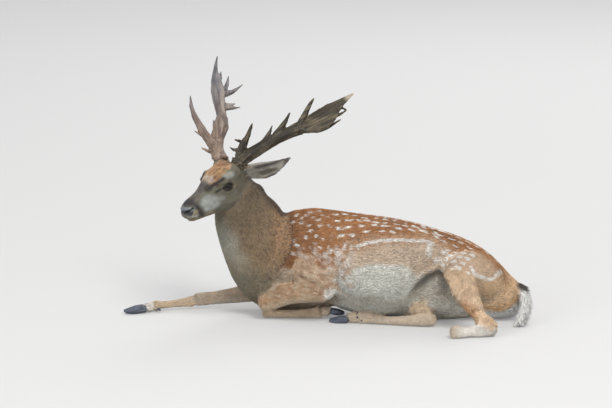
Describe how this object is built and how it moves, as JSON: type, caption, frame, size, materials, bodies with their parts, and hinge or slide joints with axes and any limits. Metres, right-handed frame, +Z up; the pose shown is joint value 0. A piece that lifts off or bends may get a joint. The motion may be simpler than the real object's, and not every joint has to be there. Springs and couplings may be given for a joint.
{
  "type": "fallow deer model",
  "caption": "Life-size still model of a spotted fallow buck lying on the ground with its head turned and palmate antlers raised.",
  "frame": {"origin": "middle of the bounding box in plan, on the ground the animal lies on", "axes": "+Z up; the animal faces -X and its left side faces -Y"},
  "size_m": [1.32, 0.6222, 0.7996],
  "materials": {
    "coat": "short dense hair, brown with white spots",
    "pale_coat": "short pale hair",
    "antler": "dry grained bone, rough, paler at the tips",
    "hoof": "dark smooth horn",
    "eye": "wet dark brown"
  },
  "bodies": {
    "root": {"antler_left_beam": "antler", "antler_left_brow": "antler", "antler_left_palm": "antler", "antler_right_beam": "antler", "antler_right_brow": "antler", "antler_right_palm": "antler", "ear_left": "coat", "ear_right": "coat", "eye_left": "eye", "eye_right": "eye", "foreleg_left_arm": "coat", "foreleg_left_cannon": "coat", "foreleg_left_claw_inner": "hoof", "foreleg_left_claw_outer": "hoof", "foreleg_left_dewclaw_inner": "hoof", "foreleg_left_dewclaw_outer": "hoof", "foreleg_left_forearm": "coat", "foreleg_left_pastern": "coat", "foreleg_right_arm": "coat", "foreleg_right_cannon": "coat", "foreleg_right_claw_inner": "hoof", "foreleg_right_claw_outer": "hoof", "foreleg_right_dewclaw_inner": "hoof", "foreleg_right_dewclaw_outer": "hoof", "foreleg_right_forearm": "coat", "foreleg_right_pastern": "coat", "head": "coat", "hindleg_left_claw_inner": "hoof", "hindleg_left_claw_outer": "hoof", "hindleg_left_dewclaw_inner": "hoof", "hindleg_left_dewclaw_outer": "hoof", "hindleg_left_metatarsus": "coat", "hindleg_left_pastern": "coat", "hindleg_left_shank": "coat", "hindleg_left_thigh": "coat", "hindleg_right_claw_inner": "hoof", "hindleg_right_claw_outer": "hoof", "hindleg_right_dewclaw_inner": "hoof", "hindleg_right_dewclaw_outer": "hoof", "hindleg_right_metatarsus": "coat", "hindleg_right_pastern": "coat", "hindleg_right_shank": "coat", "hindleg_right_thigh": "coat", "neck": "coat", "tail": "pale_coat", "trunk": "coat"}
  },
  "joints": []
}
